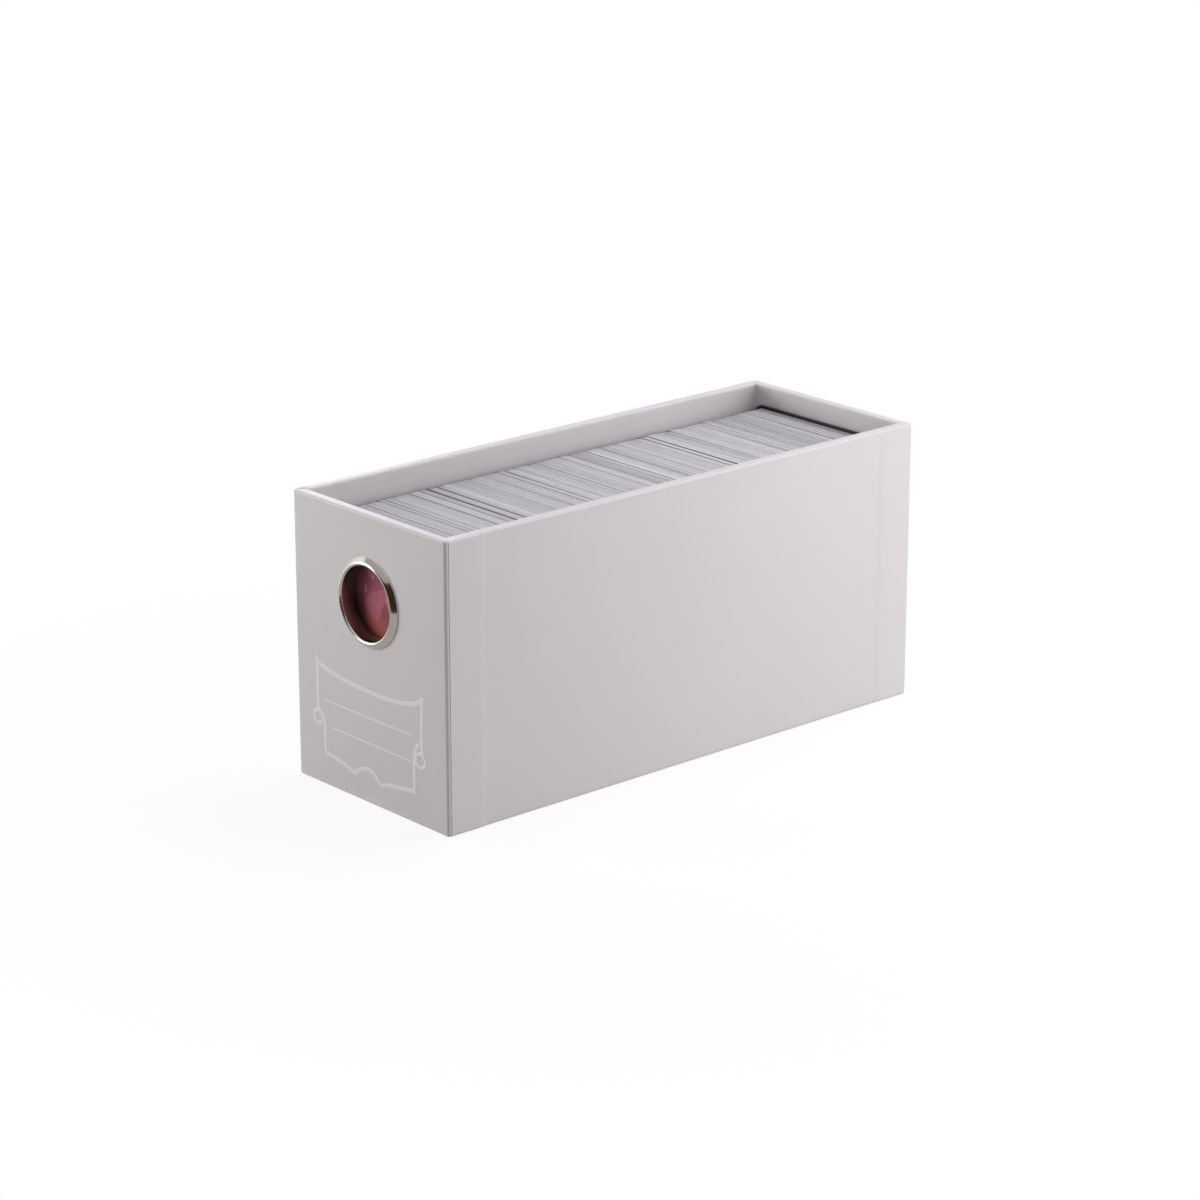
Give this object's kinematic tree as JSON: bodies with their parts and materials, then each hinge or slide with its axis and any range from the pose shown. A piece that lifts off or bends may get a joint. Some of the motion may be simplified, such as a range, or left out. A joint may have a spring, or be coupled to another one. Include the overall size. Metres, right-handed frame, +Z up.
{
  "type": "trading card drawer box",
  "caption": "Open-topped drawer of wrapped greyboard that holds a long row of upright trading cards, with a round metal finger ring and a printed label frame on its front.",
  "frame": {"origin": "centre of the underside, where the drawer stands on its base paper", "axes": "+X across the width, +Y from the front to the back, +Z up; the front face with the finger ring looks along -Y"},
  "size_m": [0.0794, 0.212, 0.1],
  "materials": {
    "greyboard": "matte",
    "wrap_paper": "satin",
    "lining_paper": "satin",
    "nickel": "polished",
    "washer_steel": "satin",
    "card_stock": "matte",
    "card_face": "gloss",
    "divider_black": "matte"
  },
  "bodies": {
    "box": {"bottom_board": "greyboard", "left_board": "greyboard", "right_board": "greyboard", "front_board": "greyboard", "back_board": "greyboard", "outer_wrap": "wrap_paper", "base_paper": "wrap_paper", "floor_lining": "lining_paper", "wall_lining": "lining_paper", "finger_ring": "nickel", "ring_washer": "washer_steel"},
    "handful_01": {"front_card": "card_face", "cards_01": "card_stock"},
    "handful_02": {"cards_02": "card_stock"},
    "handful_03": {"cards_03": "card_stock"},
    "handful_04": {"cards_04": "card_stock"},
    "handful_05": {"cards_05": "card_stock"},
    "handful_06": {"cards_06": "card_stock"},
    "handful_07": {"cards_07": "card_stock"},
    "handful_08": {"cards_08": "card_stock"},
    "handful_09": {"cards_09": "card_stock"},
    "handful_10": {"cards_10": "card_stock"},
    "handful_11": {"cards_11": "card_stock"},
    "divider": {"rear_divider": "divider_black"}
  },
  "joints": [
    {"name": "lift_handful_01", "type": "slide", "parent": "box", "child": "handful_01", "axis": [0, 0, 1], "range_m": [0, 0.1]},
    {"name": "lift_handful_02", "type": "slide", "parent": "box", "child": "handful_02", "axis": [0, 0, 1], "range_m": [0, 0.1]},
    {"name": "lift_handful_03", "type": "slide", "parent": "box", "child": "handful_03", "axis": [0, 0, 1], "range_m": [0, 0.1]},
    {"name": "lift_handful_04", "type": "slide", "parent": "box", "child": "handful_04", "axis": [0, 0, 1], "range_m": [0, 0.1]},
    {"name": "lift_handful_05", "type": "slide", "parent": "box", "child": "handful_05", "axis": [0, 0, 1], "range_m": [0, 0.1]},
    {"name": "lift_handful_06", "type": "slide", "parent": "box", "child": "handful_06", "axis": [0, 0, 1], "range_m": [0, 0.1]},
    {"name": "lift_handful_07", "type": "slide", "parent": "box", "child": "handful_07", "axis": [0, 0, 1], "range_m": [0, 0.1]},
    {"name": "lift_handful_08", "type": "slide", "parent": "box", "child": "handful_08", "axis": [0, 0, 1], "range_m": [0, 0.1]},
    {"name": "lift_handful_09", "type": "slide", "parent": "box", "child": "handful_09", "axis": [0, 0, 1], "range_m": [0, 0.1]},
    {"name": "lift_handful_10", "type": "slide", "parent": "box", "child": "handful_10", "axis": [0, 0, 1], "range_m": [0, 0.1]},
    {"name": "lift_handful_11", "type": "slide", "parent": "box", "child": "handful_11", "axis": [0, 0, 1], "range_m": [0, 0.1]},
    {"name": "lift_divider", "type": "slide", "parent": "box", "child": "divider", "axis": [0, 0, 1], "range_m": [0, 0.1]}
  ]
}
